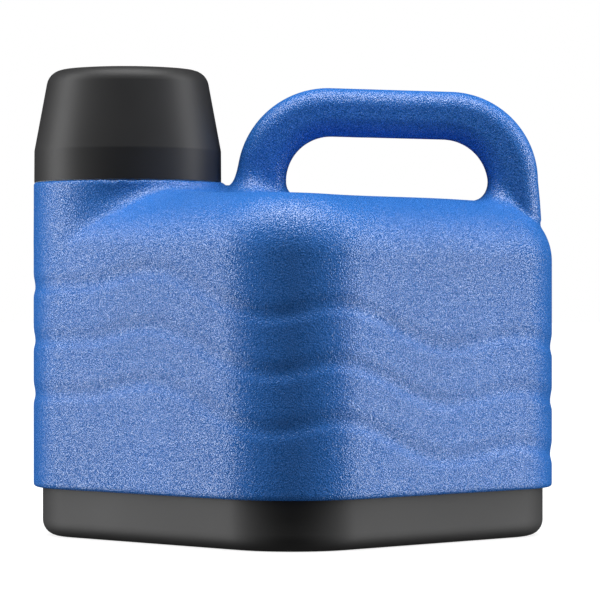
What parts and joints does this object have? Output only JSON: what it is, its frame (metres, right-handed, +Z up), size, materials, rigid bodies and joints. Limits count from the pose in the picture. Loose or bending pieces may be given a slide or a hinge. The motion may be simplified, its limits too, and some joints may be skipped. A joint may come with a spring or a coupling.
{
  "type": "large water jug",
  "caption": "Insulated water jug with a square body, a moulded handle, and a corner neck under a screw-on cup and a screw-in pouring stopper.",
  "frame": {"origin": "middle of the footprint, on the surface the jug stands on", "axes": "+Z up; X along the body's diagonal, with the neck at -X and the handle towards +X; Y across, and the jug is symmetrical about Y = 0 apart from its threads and vent"},
  "size_m": [0.28, 0.28, 0.2506],
  "materials": {
    "shell_blue": "fine leather grain",
    "base_black": "satin",
    "cup_black": "satin",
    "stopper_black": "satin",
    "liner_white": "smooth",
    "collar_white": "satin",
    "foam_cream": "fine cells",
    "seal_clear": "silicone",
    "pin_steel": "brushed"
  },
  "bodies": {
    "jug": {"outer_shell": "shell_blue", "base_cover": "base_black", "foam_fill_plug": "base_black", "insulation_foam": "foam_cream", "inner_liner": "liner_white", "neck_gasket": "seal_clear", "neck_collar": "collar_white"},
    "stopper_ring": {"stopper_seal": "seal_clear"},
    "stopper": {"stopper_body": "stopper_black", "stopper_insulation": "foam_cream", "stopper_top": "stopper_black", "vent_valve": "seal_clear", "pour_nozzle": "stopper_black", "nozzle_cap_pin": "pin_steel"},
    "flip_cap": {"nozzle_cap": "stopper_black", "nozzle_cap_seal": "seal_clear"},
    "cup_ring": {"cup_seal": "seal_clear"},
    "cup": {"cup": "cup_black"}
  },
  "joints": [
    {"name": "stopper_lift", "type": "slide", "parent": "jug", "child": "stopper_ring", "axis": [0, 0, 1], "range_m": [0, 0.0701]},
    {"name": "stopper_turn", "type": "hinge", "parent": "stopper_ring", "child": "stopper", "pos_m": [-0.0892, 0, 0.19], "axis": [0, 0, 1], "range_deg": [0, 1575]},
    {"name": "nozzle_flip", "type": "hinge", "parent": "stopper", "child": "flip_cap", "pos_m": [-0.093, 0, 0.2176], "axis": [0, 1, 0], "range_deg": [0, 105]},
    {"name": "cup_lift", "type": "slide", "parent": "stopper", "child": "cup_ring", "axis": [0, 0, 1], "range_m": [0, 0.0701]},
    {"name": "cup_turn", "type": "hinge", "parent": "cup_ring", "child": "cup", "pos_m": [-0.0892, 0, 0.19], "axis": [0, 0, 1], "range_deg": [0, 1575]}
  ],
  "couplings": [
    {"joint": "stopper_lift", "follows": "stopper_turn", "m_per_rad": 0.0025465},
    {"joint": "cup_lift", "follows": "cup_turn", "m_per_rad": 0.0025465}
  ]
}
